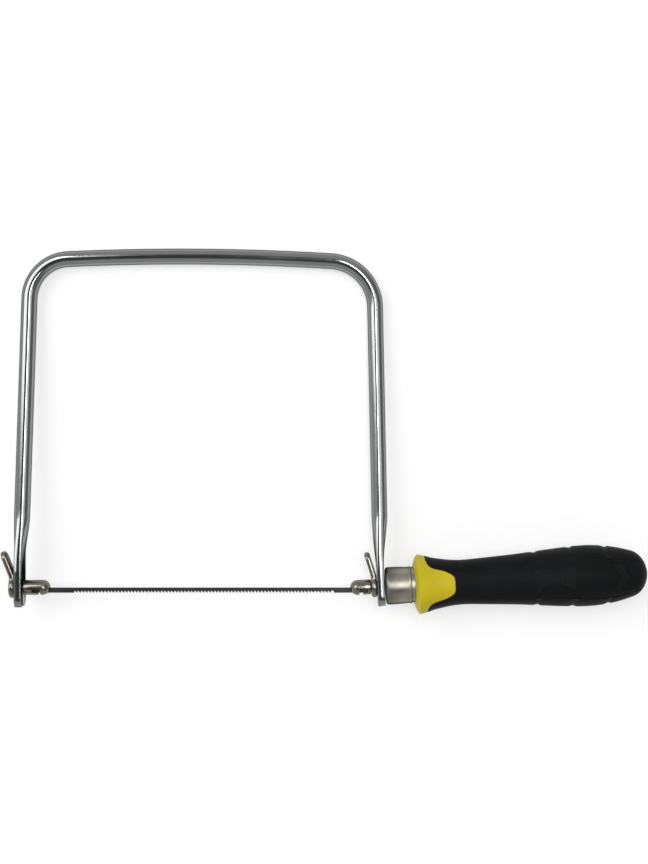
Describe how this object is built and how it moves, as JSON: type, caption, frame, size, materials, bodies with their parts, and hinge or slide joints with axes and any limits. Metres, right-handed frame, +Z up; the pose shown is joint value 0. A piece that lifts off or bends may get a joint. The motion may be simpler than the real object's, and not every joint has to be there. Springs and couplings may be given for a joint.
{
  "type": "coping saw",
  "caption": "Coping saw with a U-shaped sprung rod bow, a fine pin-end blade in turning holders with finger levers, and a two-colour screw handle that tightens the blade.",
  "frame": {"origin": "middle of the saw's outline on the bench that it lies on", "axes": "+X along the blade towards the handle, +Y from the blade to the back of the bow, +Z up from the bench; the saw's plane leans 4.1 degrees down to the back of the bow, as it lies on the grip"},
  "size_m": [0.3268, 0.1848, 0.0312],
  "materials": {
    "bow_chrome": "bright plated rod",
    "nickel": "satin nickel plate, slightly warm",
    "blued_steel": "blue-black hardened strip",
    "ferrule_nickel": "satin nickel, drawn and turned",
    "yellow_plastic": "satin moulding",
    "black_rubber": "matte soft moulding with a fine grain",
    "nut_steel": "zinc plate"
  },
  "bodies": {
    "bow": {"bow_frame": "bow_chrome"},
    "front_holder": {"front_spigot": "nickel", "front_lever": "nickel"},
    "blade": {"blade": "blued_steel", "front_blade_pin": "blued_steel", "rear_blade_pin": "blued_steel"},
    "rear_lever": {"rear_lever": "nickel"},
    "rear_holder": {"rear_spigot": "nickel"},
    "handle": {"ferrule": "ferrule_nickel", "handle_core": "yellow_plastic", "grip_sleeve": "black_rubber", "captive_nut": "nut_steel"}
  },
  "joints": [
    {"name": "blade_index", "type": "hinge", "parent": "bow", "child": "front_holder", "pos_m": [-0.14413, -0.07884, 0.01591], "axis": [1, 0, 0], "continuous": true},
    {"name": "rear_index", "type": "hinge", "parent": "bow", "child": "rear_lever", "pos_m": [0.01787, -0.07884, 0.01591], "axis": [0.9986, 0.0522, -0.0037], "continuous": true},
    {"name": "shank_slide", "type": "slide", "parent": "rear_lever", "child": "rear_holder", "axis": [-0.9986, -0.0522, 0.0037], "range_m": [0, 0.0024]},
    {"name": "handle_turn", "type": "hinge", "parent": "bow", "child": "handle", "pos_m": [0.07779, -0.0757, 0.01569], "axis": [0.9986, 0.0522, -0.0037], "range_deg": [0, 1080]},
    {"name": "blade_lift_out", "type": "slide", "parent": "front_holder", "child": "blade", "axis": [0, -0.9975, 0.071], "range_m": [0, 0.012]}
  ],
  "couplings": [
    {"joint": "rear_index", "follows": "blade_index", "ratio": 1},
    {"joint": "shank_slide", "follows": "handle_turn", "m_per_rad": 0.00012732}
  ]
}
